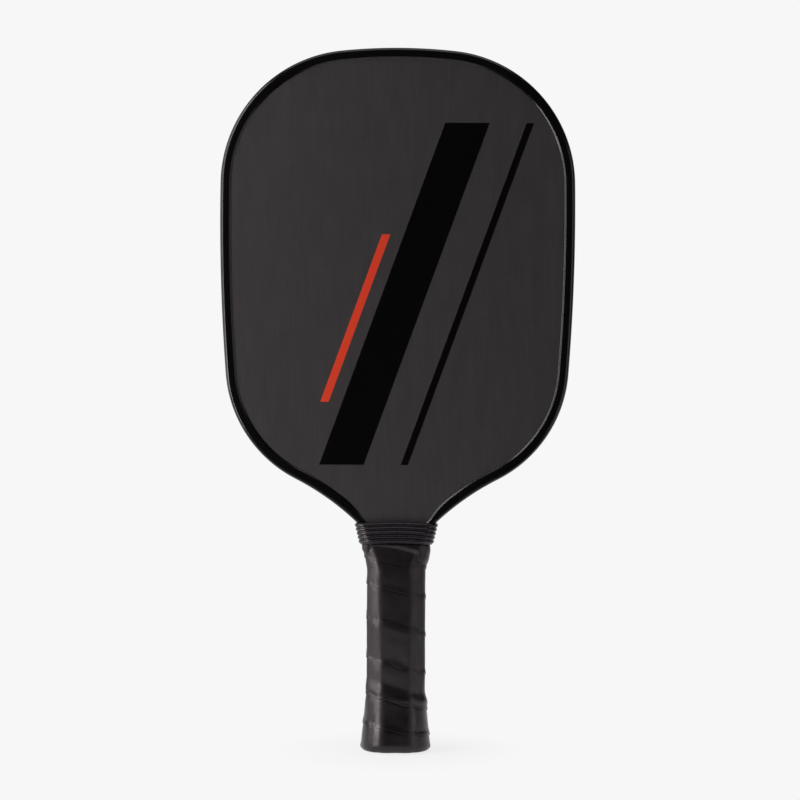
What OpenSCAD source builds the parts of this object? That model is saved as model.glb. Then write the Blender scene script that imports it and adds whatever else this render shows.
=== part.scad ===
// Pickleball paddle: a honeycomb panel with bonded faces, an edge guard, and an eight-sided wrapped handle.
// The butt stands on Z = 0, the head points up, X runs across the face and the front looks along -Y.
// Heights are measured up from the butt.

/* [Head outline] */
// Overall length, butt to crown
paddle_len = 403; // [397:1:409]
// Overall width across the edge guard
head_w = 203.5; // [198:0.5:207]
// Height of the widest point
wide_at = 308; // [303:1:313]
// Radius of the crown
crown_r = 309; // [270:1:350]
// Radius of the top shoulders
shoulder_r = 77; // [70:1:82]
// Radius of the long sides
side_r = 1190; // [1000:10:1500]
// Radius of the lower hips
hip_r = 74; // [66:1:80]
// Radius of the hollow throat
throat_r = 150; // [130:1:165]
// Lean of the throat away from upright where it meets the collar
throat_lean = 46; // [43:0.5:49]
// Width across the edge guard where it meets the collar
throat_w = 43.6; // [42:0.2:46]

/* [Panel] */
// Thickness of the panel over both face sheets
panel_t = 14; // [12:0.5:15]
// Thickness of one face sheet
skin_t = 0.6; // [0.4:0.1:1]
// Thickness of the fleece between a face sheet and the core
scrim_t = 0.2; // [0.1:0.05:0.4]
// Size of a honeycomb cell, wall centre to wall centre
cell_w = 10; // [8:0.5:13]
// Thickness of a cell wall
cell_wall = 0.5; // [0.3:0.1:1]
// Least width of the closed rim around the cells
core_rim = 2; // [1.5:0.5:5]

/* [Edge guard] */
// Thickness of the guard outside the panel's edge
guard_web = 1.2; // [0.8:0.1:1.8]
// How far the guard's lips reach in over the faces
guard_lip = 4.6; // [3:0.2:6]
// Thickness of a lip
guard_lip_t = 0.9; // [0.6:0.1:1.2]
// Radius of the guard's outer corners
guard_round = 2.6; // [1.5:0.1:3.5]
// Bevel along the inner edge of a lip
guard_bevel = 0.45; // [0.2:0.05:0.5]

/* [Handle] */
// Height of the collar's top edge on the face
handle_len = 131.2; // [126:0.2:137]
// Width of the bare handle
handle_w = 30; // [28:0.2:31]
// Depth of the bare handle, front to back
handle_d = 25; // [23:0.2:27]
// Width taken by each bevel of the eight-sided handle
bevel_w = 6.8; // [5.5:0.1:8]
// Rounding of the handle's edges
handle_round = 0.8; // [0.5:0.1:0.8]
// Width of the neck under the collar
neck_w = 33.8; // [32.4:0.2:34.6]
// Length of the stretch where the handle thins toward the face
neck_run = 27; // [24:0.5:30]
// Length of the stretch at its start where the handle widens into the neck
neck_flare = 10.8; // [9:0.2:13]
// Thickness of a pallet at its thin top end
pallet_tip = 1.2; // [1.1:0.1:1.6]

/* [Butt cap] */
// Height of the cap
cap_len = 28; // [22:0.5:32]
// Thickness of the cap's floor
cap_floor = 3; // [2:0.5:4]
// Thickness of the cap's wall at its top edge
cap_lip = 0.7; // [0.5:0.1:1]
// How much wider each side is at the bottom than at the top edge
cap_flare = 2.5; // [1.5:0.1:3.5]
// Rounding of the bottom edge
cap_round = 3; // [2:0.2:3.4]

/* [Grip tape] */
// Thickness of the tape
tape_t = 1.4; // [1.1:0.1:1.7]
// Thickness of the tape's thinned edges
tape_edge = 0.5; // [0.4:0.05:0.7]
// How far each lap covers the one below
lap_over = 3; // [2.5:0.25:4]
// Clear space between two laps
lap_gap = 0.45; // [0.43:0.01:0.6]
// Turn at which the climb is largest
lap_pitch_turn = 3.74; // [3.6:0.02:3.9]
// How fast the climb eases off before and after that turn
lap_ease = 0.064; // [0.058:0.001:0.066]
// How far the last lap's edge lies below the tape's top end
lap_last = 6.1; // [5.5:0.1:7]
// How far the laps lean down from the right side to the left
lap_lean = 1; // [0.5:0.1:1.2]

/* [Collar] */
// Height of the collar
collar_h = 12.1; // [11.5:0.1:13]
// Wall of the collar between ribs, at the bottom
collar_wall = 0.7; // [0.6:0.1:1]
// Wall of the collar between ribs, at the top
collar_wall_top = 1.4; // [1:0.1:1.8]
// Height of a rib
rib_h = 0.7; // [0.4:0.05:0.9]
// Spacing of the ribs
rib_pitch = 2.15; // [2.1:0.05:2.2]
// Number of ribs
rib_count = 5; // [3:1:5]
// How far the collar sits lower on the sides than on the faces
collar_droop = 1.2; // [0.8:0.1:1.6]
// Thickness of the finishing tape
finish_t = 0.3; // [0.15:0.05:0.4]

/* [Hidden] */

// Clearances: a glued fit, a wrapped or stretched fit, and the guard on the panel
glue_fit = 0.1;
wrap_fit = 0.2;
guard_fit = 0.05;

// Layers of the panel, measured from its middle plane
face_z = panel_t / 2;
scrim_z = face_z - skin_t;
core_z = scrim_z - scrim_t;
lip_z = face_z + guard_fit + guard_lip_t;

// Heights along the handle
foot = cap_floor + glue_fit;
tape_tuck = 7.7;
pallet_tuck = 1.4;
neck_from = handle_len - neck_run;
neck_full = neck_from + neck_flare;
tape_top = handle_len - tape_tuck;
pallet_top = handle_len - pallet_tuck;
collar_bottom = handle_len - collar_h;
throat_at = handle_len - collar_droop;

// Centres of the outline's arcs on the right half, from the crown down to the throat
crown_c = [0, paddle_len - crown_r];
side_c = [head_w / 2 - side_r, wide_at];
throat_c = [throat_w / 2, throat_at] + throat_r * [cos(throat_lean), -sin(throat_lean)];
shoulder_c = meet(crown_c, crown_r - shoulder_r, side_c, side_r - shoulder_r, -1);
hip_c = meet(side_c, side_r - hip_r, throat_c, hip_r + throat_r, 1);

// Directions of the points where neighbouring arcs run into each other
crown_end = heading(crown_c, shoulder_c);
shoulder_end = heading(side_c, shoulder_c);
side_end = heading(side_c, hip_c);
hip_end = heading(hip_c, throat_c);
throat_end = 180 - acos((throat_c.x - neck_w / 2) / (throat_r + guard_web));

// Arcs of the right half, from the crown's middle down to the throat's lower end, as centre, radius,
// first and last direction, and whether they bulge out (1) or in (-1)
arcs = [
    [crown_c, crown_r, 90, crown_end, 1],
    [shoulder_c, shoulder_r, crown_end, shoulder_end, 1],
    [side_c, side_r, shoulder_end, side_end, 1],
    [hip_c, hip_r, side_end, hip_end, 1],
    [throat_c, throat_r, hip_end + 180, throat_end, -1],
];

// Stations along those arcs, as the arc's number and a direction, close enough to keep the chords true
chord_error = 0.03;
function arc_steps(arc) = ceil(abs(arc[3] - arc[2]) / (2 * acos(1 - chord_error / arc[1])));
stations = [
    for (i = [0:len(arcs) - 1])
        let (arc = arcs[i], n = arc_steps(arc))
        for (k = [0:n - 1]) [i, mix(arc[2], arc[3], k / n)],
    [len(arcs) - 1, throat_end],
];

function direction(a) = [cos(a), sin(a)];
function heading(from, to) = atan2(to.y - from.y, to.x - from.x);
function mix(a, b, k) = a + (b - a) * min(1, max(0, k));

// Point at distance ra from a and rb from b, on the given side of the line from a to b
function meet(a, ra, b, rb, side) =
    let (
        span = norm(b - a),
        along = (ra * ra - rb * rb + span * span) / (2 * span),
        u = (b - a) / span
    )
    a + along * u + side * sqrt(ra * ra - along * along) * [-u.y, u.x];

// Point of the outline in a direction on an arc, a distance in from the guard's outer face
function arc_r(i, inset) = arcs[i][1] - arcs[i][4] * inset;
function edge_point(i, a, inset) = arcs[i][0] + arc_r(i, inset) * direction(a);

// Half width of the bare handle and neck, and its half depth with the pallets on, at a height
function neck_x(h) = mix(handle_w, neck_w, (h - neck_from) / neck_flare) / 2;
function handle_z(h) =
    mix(handle_d / 2, face_z + pallet_tip, (h - neck_from) / (pallet_top - neck_from));

// Half width of the panel at a height, from the arc that holds that height
function arc_x(i, h) =
    arcs[i][0].x + arcs[i][4] * sqrt(max(0, arc_r(i, guard_web) ^ 2 - (h - arcs[i][0].y) ^ 2));
function arc_foot(i) = edge_point(i, arcs[i][3], guard_web).y;
function panel_x(h, i = 0) =
    i == len(arcs) ? neck_x(h) :
    h > arc_foot(i) ? arc_x(i, h) : panel_x(h, i + 1);

// Half width over the guard on the throat
function guard_x(h) = throat_c.x - sqrt(throat_r ^ 2 - (h - throat_c.y) ^ 2);

// Lays a drawing of the face upright: its y becomes height and its z points to the front
module upright() {
    rotate([90, 0, 0]) children();
}

// Outline of the panel, with the tongue that runs down inside the handle
module panel_outline() {
    right = concat(
        [for (s = stations) edge_point(s[0], s[1], guard_web)],
        [[neck_w / 2, neck_full], [handle_w / 2, neck_from], [handle_w / 2, foot]]
    );
    left = [for (i = [len(right) - 1:-1:1]) [-right[i].x, right[i].y]];
    polygon(concat(right, left));
}

// One layer of the panel between two distances from the middle plane
module layer(from, to) {
    upright() translate([0, 0, from]) linear_extrude(to - from) panel_outline();
}

// Honeycomb cells: rows are staggered by half a cell, and only whole cells inside the rim are cut
cell_rise = cell_w * sqrt(3) / 2;
cell_r = (cell_w - cell_wall) / sqrt(3);
cell_rows = ceil((paddle_len - foot) / cell_rise);
cell_cols = ceil(head_w / 2 / cell_w);

function in_rim(p) =
    abs(p.x) + core_rim <= panel_x(p.y) && abs(p.x) <= panel_x(p.y + core_rim)
    && p.y >= foot + core_rim && p.y + core_rim <= paddle_len - guard_web;
function cell_fits(c) =
    min([for (k = [0:5]) in_rim(c + cell_r * direction(60 * k + 30)) ? 1 : 0]) == 1;

cells = [
    for (row = [0:cell_rows], col = [-cell_cols:cell_cols])
        let (c = [(col + (row % 2) / 2) * cell_w, foot + row * cell_rise])
        if (cell_fits(c)) c
];

module honeycomb_core() {
    color([0.80, 0.80, 0.76]) upright() translate([0, 0, -core_z]) linear_extrude(2 * core_z)
        difference() {
            panel_outline();
            for (c = cells) translate(c) rotate(30) circle(cell_r, $fn = 6);
        }
}

module front_scrim() {
    color([0.88, 0.87, 0.84]) layer(core_z, scrim_z);
}

module rear_scrim() {
    color([0.88, 0.87, 0.84]) layer(-scrim_z, -core_z);
}

module front_face_sheet() {
    color([0.21, 0.20, 0.205]) layer(scrim_z, face_z);
}

module rear_face_sheet() {
    color([0.21, 0.20, 0.205]) layer(-face_z, -scrim_z);
}

// Front half of the guard's section, as distance in from its outer face and height off the middle plane
guard_in = guard_web + guard_lip;
guard_steps = 4;
guard_half = [
    [guard_web - guard_fit, face_z + guard_fit],
    [guard_in, face_z + guard_fit],
    [guard_in, lip_z - guard_bevel],
    [guard_in - guard_bevel, lip_z],
    for (k = [0:guard_steps])
        [guard_round, lip_z - guard_round] + guard_round * direction(90 + 90 * k / guard_steps),
];
guard_section = concat(
    guard_half,
    [for (i = [len(guard_half) - 1:-1:0]) [guard_half[i].x, -guard_half[i].y]]
);

// The guard's section at a station, on the right (1) or the left (-1) half
function guard_ring(s, half) = [
    for (p = guard_section)
        let (q = edge_point(s[0], s[1], p.x))
        [half * q.x, -p.y, q.y]
];

module edge_guard() {
    last = len(stations) - 1;
    rings = concat(
        [for (i = [last:-1:0]) guard_ring(stations[i], -1)],
        [for (i = [1:last]) guard_ring(stations[i], 1)]
    );
    color([0.055, 0.05, 0.055]) skin(rings);
}

// Eight-sided section with rounded corners. A shape is its half width, half depth, the half depth of
// its side faces and the width of its bevels. Points run from the right side over the front to the left
// and back, and lie a distance off outside the section.
function eight_sides(shape) =
    let (x = shape[0], z = shape[1], side_z = shape[2], bevel = shape[3])
    [
        [x, side_z], [x - bevel, z], [bevel - x, z], [-x, side_z],
        [-x, -side_z], [bevel - x, -z], [x - bevel, -z], [x, -side_z],
    ];
function outward(a, b) = [b.y - a.y, a.x - b.x] / norm(b - a);
function corner_points(a, v, b, r, off) =
    let (
        n = outward(a, v),
        m = outward(v, b),
        c = v - r * (n + m) / (1 + n * m)
    )
    [for (k = [n, (n + m) / norm(n + m), m]) c + (r + off) * k];
function section(shape, off) =
    let (v = eight_sides(shape))
    [
        for (i = [0:7])
            let (a = v[(i + 7) % 8])
            each concat(
                i % 2 == 0 ? [(a + v[i]) / 2 + off * outward(a, v[i])] : [],
                corner_points(a, v[i], v[(i + 1) % 8], handle_round, off)
            )
    ];

// Shape and section of the handle at a height, and the section's points as a ring at that height.
// The bevels shrink with the depth, which keeps them flat where the handle thins.
side_land = 0.4;
handle_side_z = face_z + side_land;
function handle_bevel(h) = bevel_w * (handle_z(h) - handle_side_z) / (handle_d / 2 - handle_side_z);
function handle_shape(h, x) = [x, handle_z(h), handle_side_z, handle_bevel(h)];
function handle_section(h, off) = section(handle_shape(h, neck_x(h)), off);
function ring_at(points, h) = [for (p = points) [p.x, -p.y, h]];
points_round = len(handle_section(foot, 0));

// Skin over a list of rings, closed into a loop, or capped at both ends with the faces given for one ring
module skin(rings, loop = false, cap = []) {
    n = len(rings[0]);
    rows = len(rings);
    last = loop ? rows - 1 : rows - 2;
    walls = [
        for (i = [0:last], j = [0:n - 1])
            let (a = i * n, b = ((i + 1) % rows) * n, k = (j + 1) % n)
            each [[a + j, a + k, b + k], [a + j, b + k, b + j]]
    ];
    faces = len(cap) > 0 ? cap : [[for (j = [0:n - 1]) j]];
    first_cap = [for (f = faces) [for (j = [len(f) - 1:-1:0]) f[j]]];
    last_cap = [for (f = faces) [for (j = f) j + (rows - 1) * n]];
    polyhedron([for (ring = rings) each ring], concat(walls, loop ? [] : concat(first_cap, last_cap)));
}

// One pallet, on the front (1) or the rear (-1): flat on the face sheet, bevelled outside, thin at the top.
// Its top corners are cut along the guard's slanting end.
guard_end = edge_point(len(arcs) - 1, throat_end, guard_web);
tip_fit = 0.3;
tip_from = guard_end.y - tip_fit;
tip_inset = (pallet_top - tip_from) / tan(180 - throat_end);
function pallet_ring(h, x) =
    let (
        points = section(handle_shape(h, x), 0),
        half = points_round / 2
    )
    ring_at(concat([[x, face_z]], [for (j = [2:half - 2]) [points[j].x, max(points[j].y, face_z + 0.05)]],
        [[-x, face_z]]), h);

module pallet(facing) {
    rings = [
        pallet_ring(foot, handle_w / 2),
        pallet_ring(neck_from, handle_w / 2),
        pallet_ring(neck_full, neck_w / 2),
        pallet_ring(tip_from, neck_w / 2),
        pallet_ring(pallet_top, neck_w / 2 - tip_inset),
    ];
    mirror([0, facing < 0 ? 1 : 0, 0]) skin(rings);
}

module front_handle_pallet() {
    color([0.30, 0.30, 0.32]) pallet(1);
}

module rear_handle_pallet() {
    color([0.30, 0.30, 0.32]) pallet(-1);
}

// How far the butt cap stands out from the bare handle at a height
function cap_off(h) =
    h < cap_round
        ? cap_lip + cap_flare - cap_round * (1 - sqrt(1 - (1 - h / cap_round) ^ 2))
        : mix(cap_lip + cap_flare, cap_lip, (h - cap_round) / (cap_len - cap_round));

module butt_cap() {
    turn = 15;
    rising = [
        for (a = [0:turn:90])
            let (h = cap_round * (1 - cos(a)))
            ring_at(handle_section(foot, cap_off(h)), h),
    ];
    rim = ring_at(handle_section(foot, cap_lip), cap_len);
    socket = [for (p = handle_section(foot, glue_fit)) [p.x, -p.y]];
    color([0.07, 0.065, 0.07]) difference() {
        skin(concat(rising, [rim]));
        translate([0, 0, cap_floor]) linear_extrude(cap_len) polygon(socket);
    }
}

// Grip tape. Its first turn wraps the cap's rounded rim, and the others wind up the handle, right side to
// front to left. Turns are counted from the right side, where the second turn first covers the start.
tape_rim = cap_round / 3;
tape_foot = cap_round + 0.2;
tape_turns = 7;
rim_run = 2.2;
rim_turn = 0.8;
cap_fade = 6;

// How far the tape rides on the turn below it: not at all on the first turn, then fully
function riding(t) = min(1, max(0, (t + 0.25) * 5));

// Height of the tape's lower edge at a turn
function climb(t) = t - lap_ease / 3 * ((t - lap_pitch_turn) ^ 3 + lap_pitch_turn ^ 3);
function lap_h(t) =
    t < 0 ? mix(tape_rim, tape_foot, riding(t)) :
    tape_foot + (tape_top - lap_last - tape_foot) * climb(t) / climb(tape_turns)
    + lap_lean * (cos(360 * t) - 1);

// What lies under the tape: the cap, which fades into the bare handle above it
function under_tape(h) =
    wrap_fit + (h < cap_len ? cap_off(h) : mix(cap_lip, 0, (h - cap_len) / cap_fade));

// The lower edge rides over the lap below it, and the upper edge thins to go under the next lap.
lap_thin = tape_t - 0.3;
lap_skive = 1.5;
lap_ramp = 1.2;
lap_lift = lap_thin + lap_gap;
function tape_inside(s, raised) =
    raised * (s < lap_over + lap_gap
        ? mix(lap_lift, tape_edge + lap_gap, s / (lap_over + lap_gap))
        : mix(tape_edge + lap_gap, 0, (s - lap_over - lap_gap) / lap_ramp));
function tape_outside(s, left, raised) =
    let (
        edge = mix(tape_edge, lap_lift + tape_edge, raised),
        low = mix(edge, tape_t, s / mix(rim_run, lap_over + 2, raised)),
        top = left < lap_over ? mix(tape_edge, lap_thin, left / lap_over)
            : mix(lap_thin, tape_t, (left - lap_over) / lap_skive)
    )
    left < lap_over + lap_skive ? min(low, top) : low;

// Section across the tape at a turn, as height and distance off the handle: outside down, inside up
function tape_profile(t) =
    let (
        low = lap_h(t),
        full = lap_h(t + 1) + lap_over,
        w = min(full, tape_top) - low,
        raised = riding(t),
        ramp_end = mix(rim_run, min(lap_over + lap_gap + lap_ramp, 0.7 * w), raised),
        skive_from = max(w - lap_over - lap_skive, 0.8 * w),
        knee = min(max(neck_from - low, ramp_end + 0.02 * w), skive_from - 0.04 * w),
        steps = [
            0,
            mix(rim_turn, min(lap_over + lap_gap, 0.5 * w), raised),
            ramp_end,
            knee,
            min(max(neck_full - low, knee + 0.02 * w), skive_from - 0.02 * w),
            skive_from,
            max(w - lap_over, 0.9 * w),
            w,
        ],
        outside = [for (s = steps) [low + s, tape_outside(s, full - low - s, raised)]],
        inside = [for (s = steps) [low + s, tape_inside(s, raised)]]
    )
    concat([for (i = [len(steps) - 1:-1:0]) outside[i]], inside);

// Share of a turn at each point round the handle, so that the laps climb evenly along the surface
handle_points = handle_section(foot, 0);
handle_edges = [
    for (i = [0:points_round - 1]) norm(handle_points[(i + 1) % points_round] - handle_points[i])
];
function sum_to(list, n) = n == 0 ? 0 : list[n - 1] + sum_to(list, n - 1);
turn_share = [
    for (i = [0:points_round - 1]) sum_to(handle_edges, i) / sum_to(handle_edges, points_round)
];

tape_stations = [
    for (turn = [-1:tape_turns - 1], j = [0:points_round - 1]) [turn + turn_share[j], j],
    [tape_turns, 0],
];
function tape_ring(station) = [
    for (p = tape_profile(station[0]))
        let (q = handle_section(p[0], under_tape(p[0]) + p[1])[station[1]])
        [q.x, -q.y, p[0]]
];

module grip_tape() {
    rings = [for (s = tape_stations) tape_ring(s)];
    n = len(rings[0]);
    across = [
        for (j = [0:n / 2 - 2])
            each [[j, j + 1, n - 1 - j], [j + 1, n - 2 - j, n - 1 - j]]
    ];
    color([0.10, 0.095, 0.10]) skin(rings, cap = across);
}

// Least space between a lap and the one below it, on points along both sections
profile_half = len(tape_profile(0)) / 2;
function along(list, parts) = [
    for (i = [0:len(list) - 2], k = [0:parts]) mix(list[i], list[i + 1], k / parts)
];
function lap_space(t) =
    let (
        below = tape_profile(t),
        above = tape_profile(t + 1),
        a = along([for (i = [0:3]) below[i]], 6),
        b = along([for (i = [profile_half:profile_half + 2]) above[i]], 6)
    )
    min([for (p = a, q = b) norm(p - q)]);
echo(least_lap_space = min([for (t = [-1:0.125:tape_turns - 1]) lap_space(t)]));  // grip_tape

// Finishing tape over the top end of the grip tape, stepping down onto the neck
tape_stack = wrap_fit + lap_lift + tape_edge;
finish_from = collar_bottom + 1.2;
finish_rows = [
    [finish_from, tape_stack + wrap_fit],
    [tape_top + 0.1, tape_stack + wrap_fit],
    [tape_top + 1.3, wrap_fit],
    [tape_top + 2.1, wrap_fit],
];

module finishing_tape() {
    last = len(finish_rows) - 1;
    outside = [for (row = finish_rows) ring_at(handle_section(row[0], row[1] + finish_t), row[0])];
    inside = [
        for (i = [last:-1:0]) ring_at(handle_section(finish_rows[i][0], finish_rows[i][1]), finish_rows[i][0])
    ];
    color([0.14, 0.135, 0.14]) skin(concat(outside, inside), loop = true);
}

// Collar: a band that widens upward from the grip to the guard's ends, ribbed outside
collar_stack = tape_stack + finish_t + 2 * wrap_fit;
collar_free = finish_t + 4 * wrap_fit;
collar_edge = 0.35;
rib_top = 1.3;
rib_shape = [[-0.9, 0], [-0.5, 0.75], [0, 1], [0.5, 0.75], [0.9, 0]];

// The band is stretched over the grip at its foot, over the tape's end, and round the guard at its head.
collar_step = tape_top + 0.3 + collar_droop;
collar_foot = handle_shape(collar_bottom, neck_x(collar_bottom));
collar_head = [guard_x(throat_at), lip_z + 0.5, lip_z - 1.15, 3.4];
foot_off = collar_stack + collar_wall;
head_off = wrap_fit + collar_wall_top;
step_x = mix(collar_foot[0] + foot_off, collar_head[0] + head_off, (collar_step - collar_bottom) / collar_h);
collar_waist = handle_shape(tape_top, step_x - foot_off);

// Ring of the band at a height. It sits lower on the sides than on the faces.
function collar_ring(shape, h, off) = [
    for (p = section(shape, off))
        [p.x, -p.y, h - collar_droop * (p.x / (shape[0] + off)) ^ 2]
];

// Outer surface at a height, a distance off outside the grooves between the ribs
function collar_outer(h, off) =
    let (
        low = (h - collar_bottom) / (collar_step - collar_bottom),
        high = (h - collar_step) / (handle_len - collar_step),
        shape = h < collar_step ? mix(collar_foot, collar_waist, low) : mix(collar_waist, collar_head, high)
    )
    collar_ring(shape, h, mix(foot_off, head_off, high) + off);

collar_rows = concat(
    [[collar_bottom, -collar_edge], [collar_bottom + collar_edge, 0]],
    [
        for (i = [rib_count - 1:-1:0], p = rib_shape)
            [handle_len - rib_top - i * rib_pitch + p[0], p[1] * rib_h]
    ],
    [[handle_len - collar_edge / 2, 0], [handle_len, -collar_edge]]
);
collar_bore = [
    [collar_head, handle_len, wrap_fit],
    [handle_shape(tape_top + 2, neck_w / 2), collar_step + 0.9, collar_free],
    [handle_shape(tape_top, neck_w / 2), collar_step, collar_stack],
    [collar_foot, collar_bottom, collar_stack],
];

module grip_collar() {
    outside = [for (row = collar_rows) collar_outer(row[0], row[1])];
    inside = [for (row = collar_bore) collar_ring(row[0], row[1], row[2])];
    color([0.09, 0.085, 0.09]) skin(concat(outside, inside), loop = true);
}

honeycomb_core();
front_scrim();
rear_scrim();
front_face_sheet();
rear_face_sheet();
edge_guard();
front_handle_pallet();
rear_handle_pallet();
butt_cap();
grip_tape();
finishing_tape();
grip_collar();
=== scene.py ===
import math

import bpy
import numpy as np
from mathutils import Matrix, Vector, noise


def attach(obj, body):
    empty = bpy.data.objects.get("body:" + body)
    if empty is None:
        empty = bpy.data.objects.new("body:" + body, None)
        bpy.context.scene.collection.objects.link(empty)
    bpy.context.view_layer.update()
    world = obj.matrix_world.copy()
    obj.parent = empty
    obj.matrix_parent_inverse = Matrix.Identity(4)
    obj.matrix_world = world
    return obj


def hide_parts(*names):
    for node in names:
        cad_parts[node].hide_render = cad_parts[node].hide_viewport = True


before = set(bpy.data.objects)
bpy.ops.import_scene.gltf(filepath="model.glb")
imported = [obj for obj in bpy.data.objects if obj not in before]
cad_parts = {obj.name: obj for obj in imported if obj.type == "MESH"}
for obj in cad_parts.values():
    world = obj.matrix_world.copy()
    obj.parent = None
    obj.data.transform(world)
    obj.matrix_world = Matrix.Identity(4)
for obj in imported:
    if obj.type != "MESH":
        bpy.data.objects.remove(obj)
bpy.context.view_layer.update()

MM = 0.001

# Sizes of the solids, in millimetres. Heights are above the butt and depth is toward the front.

# Head: an outline of five arcs from crown to throat, and half the panel's depth
PADDLE_LEN = 403.0
HEAD_W = 203.5
WIDE_AT = 308.0
CROWN_R = 309.0
SHOULDER_R = 77.0
SIDE_R = 1190.0
HIP_R = 74.0
THROAT_R = 150.0
THROAT_LEAN = math.radians(46.0)
THROAT_W = 43.6
FACE_Z = 7.0

# Edge guard: a web round the edge and a lip on each face
GUARD_FIT = 0.05
GUARD_WEB = 1.2
GUARD_LIP = 4.6
GUARD_ROUND = 2.6
LIP_T = 0.9
LIP_Z = FACE_Z + GUARD_FIT + LIP_T

# Handle: an eight-sided bar that widens and thins toward the throat
HANDLE_LEN = 131.2
HANDLE_W = 30.0
HANDLE_D = 25.0
BEVEL_W = 6.8
HANDLE_ROUND = 0.8
NECK_W = 33.8
NECK_FROM = HANDLE_LEN - 27.0
NECK_FLARE = 10.8
PALLET_TIP = 1.2
PALLET_TOP = HANDLE_LEN - 1.4
SIDE_Z = FACE_Z + 0.4

# Butt cap: a flared cup with a rounded rim
CAP_LEN = 28.0
CAP_FLOOR = 3.0
CAP_LIP = 0.7
CAP_FLARE = 2.5
CAP_ROUND = 3.0

# Where the tape ends and the collar sits
COLLAR_H = 12.1
COLLAR_BOTTOM = HANDLE_LEN - COLLAR_H
COLLAR_DROOP = 1.2
TAPE_TOP = HANDLE_LEN - 7.7
THROAT_AT = HANDLE_LEN - COLLAR_DROOP


def mix(a, b, k):
    return a + (b - a) * np.clip(k, 0.0, 1.0)


def smooth(k):
    k = np.clip(k, 0.0, 1.0)
    return k * k * (3.0 - 2.0 * k)


def bump_at(x, centre, width):
    return np.exp(-(((x - centre) / width) ** 2))


def between(x, limits):
    """1 inside four limits: it rises from the first to the second and falls from the third to the fourth."""
    a, b, c, d = limits
    return float(smooth((x - a) / (b - a)) * smooth((d - x) / (d - c)))


# Meshes

def piece(name, verts, faces, mat, sharp):
    """Object of a mesh in millimetres, shaded smooth but for edges sharper than an angle in degrees."""
    mesh = bpy.data.meshes.new(name)
    mesh.from_pydata([tuple(v) for v in np.asarray(verts) * MM], [], faces)
    mesh.validate()
    mesh.polygons.foreach_set("use_smooth", [True] * len(mesh.polygons))
    mesh.set_sharp_from_angle(angle=math.radians(sharp))
    mesh.materials.append(mat)
    obj = bpy.data.objects.new(name, mesh)
    bpy.context.scene.collection.objects.link(obj)
    return obj


def skin(rings, loop=False):
    """Vertices and faces over a row of closed rings. The row is capped at its ends, or closes in a loop."""
    n, rows = len(rings[0]), len(rings)
    faces = []
    for i in range(rows if loop else rows - 1):
        a, b = i * n, ((i + 1) % rows) * n
        for j in range(n):
            k = (j + 1) % n
            faces.append((a + j, a + k, b + k, b + j))
    if not loop:
        faces.append(tuple(range(n - 1, -1, -1)))
        faces.append(tuple((rows - 1) * n + j for j in range(n)))
    return np.concatenate([np.asarray(r, float) for r in rings]), faces


# Eight-sided sections

CORNER_STEPS = 6
FLAT_STEPS = 6
# Numbers of the corners at the ends of the front and back flats
FACE_CORNERS = (1, 2, 5, 6)


def section_places():
    """Places round a section, from the middle of the right side over the front: kind, number, share along."""
    half = FLAT_STEPS // 2
    out = [("flat", 7, 0.5 + k / FLAT_STEPS) for k in range(half)]
    for i in range(8):
        out += [("corner", i, k / CORNER_STEPS) for k in range(CORNER_STEPS + 1)]
        out += [("flat", i, k / FLAT_STEPS) for k in range(1, half if i == 7 else FLAT_STEPS)]
    return out


PLACES = section_places()


def corners(shape):
    """Corners of a shape: half width, half depth, half depth of the sides, bevel.

    A fifth value widens the bevel at the front right.
    """
    x, z, side, bevel = shape[:4]
    right = shape[4] if len(shape) > 4 else 0.0
    return np.array([
        [x, side], [x - bevel - right, z], [bevel - x, z], [-x, side],
        [-x, -side], [bevel - x, -z], [x - bevel, -z], [x, -side],
    ])


def outward(a, b):
    d = b - a
    return np.array([d[1], -d[0]]) / math.hypot(d[0], d[1])


def arc_point(v, i, k, off, radius):
    """Point a distance off outside corner i's rounding, at a share k round it.

    The radius may be a pair, for the corners at the sides and for those at the faces.
    """
    if isinstance(radius, tuple):
        radius = radius[1] if i in FACE_CORNERS else radius[0]
    n = outward(v[i - 1], v[i])
    m = outward(v[i], v[(i + 1) % 8])
    centre = v[i] - radius * (n + m) / (1.0 + n @ m)
    turn = math.acos(min(1.0, n @ m)) * k
    side = np.array([-n[1], n[0]])
    return centre + (radius + off) * (n * math.cos(turn) + side * math.sin(turn))


def place_point(shape, off, spot, radius=HANDLE_ROUND):
    v = corners(shape)
    kind, i, k = spot
    if kind == "corner":
        return arc_point(v, i, k, off, radius)
    a = arc_point(v, i, 1.0, off, radius)
    b = arc_point(v, (i + 1) % 8, 0.0, off, radius)
    return a + (b - a) * k


def ring_at(shape, off, h, radius=HANDLE_ROUND):
    return [(p[0], -p[1], h) for p in (place_point(shape, off, spot, radius) for spot in PLACES)]


def neck_x(h):
    return mix(HANDLE_W, NECK_W, (h - NECK_FROM) / NECK_FLARE) / 2.0


def handle_z(h):
    return mix(HANDLE_D / 2.0, FACE_Z + PALLET_TIP, (h - NECK_FROM) / (PALLET_TOP - NECK_FROM))


def handle_shape(h, x=None):
    z = handle_z(h)
    bevel = BEVEL_W * (z - SIDE_Z) / (HANDLE_D / 2.0 - SIDE_Z)
    return (neck_x(h) if x is None else x, z, SIDE_Z, bevel)


# Outline of the head

def meet(a, ra, b, rb, side):
    """Point where circles round a and b cross, on one side of the line from a to b."""
    span = np.linalg.norm(b - a)
    along = (ra * ra - rb * rb + span * span) / (2.0 * span)
    u = (b - a) / span
    return a + along * u + side * math.sqrt(ra * ra - along * along) * np.array([-u[1], u[0]])


def heading(a, b):
    return math.atan2(b[1] - a[1], b[0] - a[0])


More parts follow.
